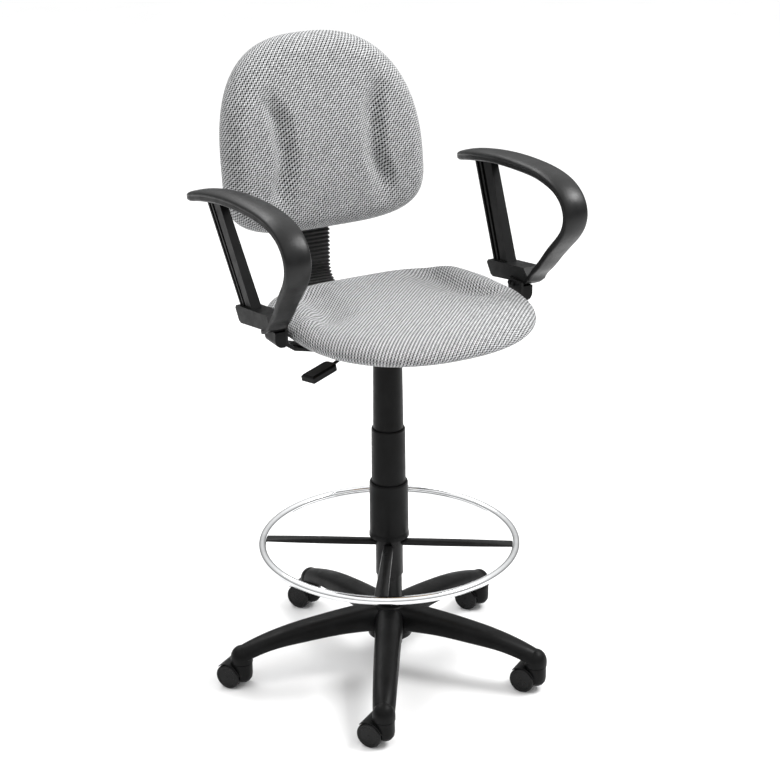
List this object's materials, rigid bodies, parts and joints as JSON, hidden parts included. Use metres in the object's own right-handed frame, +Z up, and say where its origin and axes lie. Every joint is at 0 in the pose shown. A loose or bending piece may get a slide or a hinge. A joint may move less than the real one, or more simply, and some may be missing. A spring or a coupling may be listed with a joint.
{
  "type": "drafting chair",
  "caption": "Tall swivel drafting chair: padded seat and back, loop arms, chrome foot ring, telescopic column cover and a castered five-leg base.",
  "frame": {"origin": "on the floor, under the column's swivel axis", "axes": "+Z up, the sitter faces -Y, the sitter's right hand is on the -X side"},
  "size_m": [0.6404, 0.6479, 1.2033],
  "materials": {
    "black_plastic": "fine moulded texture",
    "caster_plastic": "smooth",
    "arm_skin": "satin, soft skin",
    "black_steel": "satin black paint",
    "chrome": "polished",
    "bright_steel": "zinc plated",
    "plywood": "raw veneer",
    "tweed": "woven grey and black",
    "bellows_rubber": "ribbed"
  },
  "bodies": {
    "base": {"five_star_base": "black_plastic", "caster_stems": "bright_steel", "gas_lift_tube": "black_steel", "guide_bushing": "black_plastic", "thrust_bearing": "bright_steel", "cover_lower": "black_plastic"},
    "lift_rod": {"piston_rod": "chrome", "retaining_clip": "bright_steel"},
    "cover_stage": {"cover_middle": "black_plastic"},
    "seat": {"gas_lift_cylinder": "black_steel", "seat_mechanism": "black_steel", "lever_pivot_pin": "bright_steel", "cover_top": "black_plastic", "seat_board": "plywood", "seat_cushion": "tweed", "seat_screws": "bright_steel", "arm_screws": "bright_steel", "left_arm_frame": "black_plastic", "left_arm_cap": "arm_skin", "left_arm_bracket": "black_steel", "right_arm_frame": "black_plastic", "right_arm_cap": "arm_skin", "right_arm_bracket": "black_steel"},
    "height_lever": {"lever_rod": "black_steel", "lever_paddle": "black_plastic"},
    "valve_pin": {"release_pin": "bright_steel"},
    "ring_slide": {"foot_ring_bush": "black_plastic"},
    "foot_ring_assembly": {"foot_ring": "chrome", "foot_ring_spokes": "black_steel", "foot_ring_collar": "black_steel"},
    "ring_clamp": {"foot_ring_knob": "black_plastic"},
    "depth_clamp": {"depth_knob": "black_plastic"},
    "back_support": {"back_bar": "black_steel"},
    "back": {"back_bellows": "bellows_rubber", "back_board": "plywood", "back_cushion": "tweed", "back_cover": "black_plastic", "back_carrier": "black_steel", "back_screws": "bright_steel"},
    "back_clamp": {"back_knob": "black_plastic"},
    "caster_1": {"caster_1_hood": "black_plastic"},
    "caster_1_wheels": {"caster_1_wheel_left": "caster_plastic", "caster_1_wheel_right": "caster_plastic", "caster_1_axle": "bright_steel"},
    "caster_2": {"caster_2_hood": "black_plastic"},
    "caster_2_wheels": {"caster_2_wheel_left": "caster_plastic", "caster_2_wheel_right": "caster_plastic", "caster_2_axle": "bright_steel"},
    "caster_3": {"caster_3_hood": "black_plastic"},
    "caster_3_wheels": {"caster_3_wheel_left": "caster_plastic", "caster_3_wheel_right": "caster_plastic", "caster_3_axle": "bright_steel"},
    "caster_4": {"caster_4_hood": "black_plastic"},
    "caster_4_wheels": {"caster_4_wheel_left": "caster_plastic", "caster_4_wheel_right": "caster_plastic", "caster_4_axle": "bright_steel"},
    "caster_5": {"caster_5_hood": "black_plastic"},
    "caster_5_wheels": {"caster_5_wheel_left": "caster_plastic", "caster_5_wheel_right": "caster_plastic", "caster_5_axle": "bright_steel"}
  },
  "joints": [
    {"name": "caster_1_swivel", "type": "hinge", "parent": "base", "child": "caster_1", "pos_m": [-0.15425, -0.25672, 0.053], "axis": [0, 0, 1], "continuous": true},
    {"name": "caster_1_roll", "type": "hinge", "parent": "caster_1", "child": "caster_1_wheels", "pos_m": [-0.16529, -0.24004, 0.025], "axis": [-0.8339, -0.5519, 0], "continuous": true},
    {"name": "caster_2_swivel", "type": "hinge", "parent": "base", "child": "caster_2", "pos_m": [0.19649, -0.22604, 0.053], "axis": [0, 0, 1], "continuous": true},
    {"name": "caster_2_roll", "type": "hinge", "parent": "caster_2", "child": "caster_2_wheels", "pos_m": [0.18545, -0.20936, 0.025], "axis": [-0.8339, -0.5519, 0], "continuous": true},
    {"name": "caster_3_swivel", "type": "hinge", "parent": "base", "child": "caster_3", "pos_m": [0.27569, 0.11702, 0.053], "axis": [0, 0, 1], "continuous": true},
    {"name": "caster_3_roll", "type": "hinge", "parent": "caster_3", "child": "caster_3_wheels", "pos_m": [0.26465, 0.1337, 0.025], "axis": [-0.8339, -0.5519, 0], "continuous": true},
    {"name": "caster_4_swivel", "type": "hinge", "parent": "base", "child": "caster_4", "pos_m": [-0.0261, 0.29836, 0.053], "axis": [0, 0, 1], "continuous": true},
    {"name": "caster_4_roll", "type": "hinge", "parent": "caster_4", "child": "caster_4_wheels", "pos_m": [-0.03714, 0.31504, 0.025], "axis": [-0.8339, -0.5519, 0], "continuous": true},
    {"name": "caster_5_swivel", "type": "hinge", "parent": "base", "child": "caster_5", "pos_m": [-0.29182, 0.06737, 0.053], "axis": [0, 0, 1], "continuous": true},
    {"name": "caster_5_roll", "type": "hinge", "parent": "caster_5", "child": "caster_5_wheels", "pos_m": [-0.30286, 0.08405, 0.025], "axis": [-0.8339, -0.5519, 0], "continuous": true},
    {"name": "seat_swivel", "type": "hinge", "parent": "base", "child": "lift_rod", "pos_m": [0, 0, 0.05], "axis": [0, 0, 1], "continuous": true},
    {"name": "gas_lift", "type": "slide", "parent": "lift_rod", "child": "seat", "axis": [0, 0, 1], "range_m": [-0.1, 0.022]},
    {"name": "cover_stage_slide", "type": "slide", "parent": "base", "child": "cover_stage", "axis": [0, 0, 1], "range_m": [-0.05, 0.011]},
    {"name": "height_lever_tip", "type": "hinge", "parent": "seat", "child": "height_lever", "pos_m": [-0.028, 0.006, 0.7], "axis": [0, 1, 0], "range_deg": [0, 7], "stiffness_Nm_per_rad": 2, "springref_deg": -4.58},
    {"name": "valve_pin_press", "type": "slide", "parent": "seat", "child": "valve_pin", "axis": [0, 0, -1], "range_m": [0, 0.0037]},
    {"name": "foot_ring_height", "type": "slide", "parent": "base", "child": "ring_slide", "axis": [0, 0, 1], "range_m": [-0.06, 0]},
    {"name": "foot_ring_turn", "type": "hinge", "parent": "ring_slide", "child": "foot_ring_assembly", "pos_m": [0, 0, 0.27], "axis": [0, 0, 1], "continuous": true},
    {"name": "foot_ring_clamp", "type": "hinge", "parent": "foot_ring_assembly", "child": "ring_clamp", "pos_m": [0.01909, 0.03515, 0.226], "axis": [0.4772, 0.8788, 0], "range_deg": [-360, 0]},
    {"name": "depth_clamp_turn", "type": "hinge", "parent": "seat", "child": "depth_clamp", "pos_m": [0, 0.11, 0.68], "axis": [0, 0, -1], "range_deg": [-360, 0]},
    {"name": "back_depth", "type": "slide", "parent": "seat", "child": "back_support", "axis": [0, 1, 0], "range_m": [-0.02, 0.03]},
    {"name": "back_height", "type": "slide", "parent": "back_support", "child": "back", "axis": [0, 0, 1], "range_m": [0, 0.06], "deforming": ["back_bellows"]},
    {"name": "back_clamp_turn", "type": "hinge", "parent": "back", "child": "back_clamp", "pos_m": [0, 0.32, 0.938], "axis": [0, 1, 0], "range_deg": [-360, 0]}
  ],
  "couplings": [
    {"joint": "cover_stage_slide", "follows": "gas_lift", "ratio": 0.5},
    {"joint": "valve_pin_press", "follows": "height_lever_tip", "m_per_rad": 0.029466}
  ]
}
